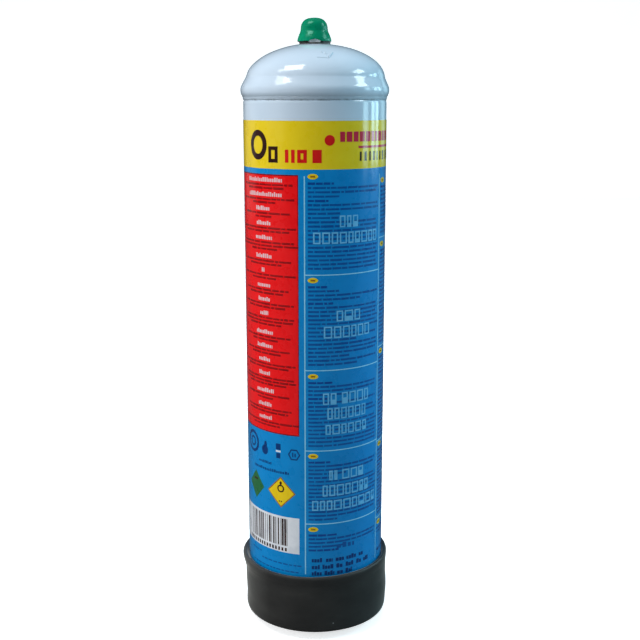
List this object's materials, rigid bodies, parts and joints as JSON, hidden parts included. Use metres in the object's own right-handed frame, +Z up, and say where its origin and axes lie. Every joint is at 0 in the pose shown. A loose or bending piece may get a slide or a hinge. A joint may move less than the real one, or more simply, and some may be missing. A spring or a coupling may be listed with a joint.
{
  "type": "disposable oxygen cylinder",
  "caption": "Slim steel gas cylinder with a dished top, threaded outlet valve under a push-on cap, printed film wrap and a rubber base boot.",
  "frame": {"origin": "centre of the base boot's flat underside", "axes": "+Z up along the cylinder's axis, towards the outlet; -Y towards the front of the label and the cap's thumb notch; +X to the right of a viewer in front"},
  "size_m": [0.0784, 0.0784, 0.3122],
  "materials": {
    "painted_steel": "gloss",
    "printed_film": "gloss",
    "boot_rubber": "satin",
    "cap_plastic": "semi-gloss",
    "valve_brass": "machined",
    "boss_steel": "machined",
    "weld_steel": "gloss",
    "inner_weld": "rough",
    "gasket_fibre": "matt",
    "seal_rubber": "matt",
    "pin_steel": "polished",
    "spring_steel": "bright",
    "sintered_bronze": "porous"
  },
  "bodies": {
    "cylinder": {"lower_shell": "painted_steel", "upper_dome": "painted_steel", "seam_weld": "weld_steel", "neck_boss": "boss_steel", "neck_weld": "inner_weld", "base_boot": "boot_rubber", "label_wrap": "printed_film", "boss_gasket": "gasket_fibre", "valve_body": "valve_brass", "outlet_oring": "seal_rubber", "stem_guide": "valve_brass", "poppet_spring": "spring_steel", "spring_retainer": "valve_brass", "inlet_filter": "sintered_bronze", "filter_clip": "spring_steel"},
    "cap": {"outlet_cap": "cap_plastic"},
    "pin": {"valve_pin": "pin_steel", "poppet_cup": "valve_brass", "poppet_seal": "seal_rubber"}
  },
  "joints": [
    {"name": "cap_lift", "type": "slide", "parent": "cylinder", "child": "cap", "axis": [0, 0, 1], "range_m": [0, 0.08]},
    {"name": "valve_press", "type": "slide", "parent": "cylinder", "child": "pin", "axis": [0, 0, -1], "range_m": [0, 0.0015], "stiffness_N_per_m": 400, "springref_m": -0.002, "deforming": ["poppet_spring"]}
  ]
}
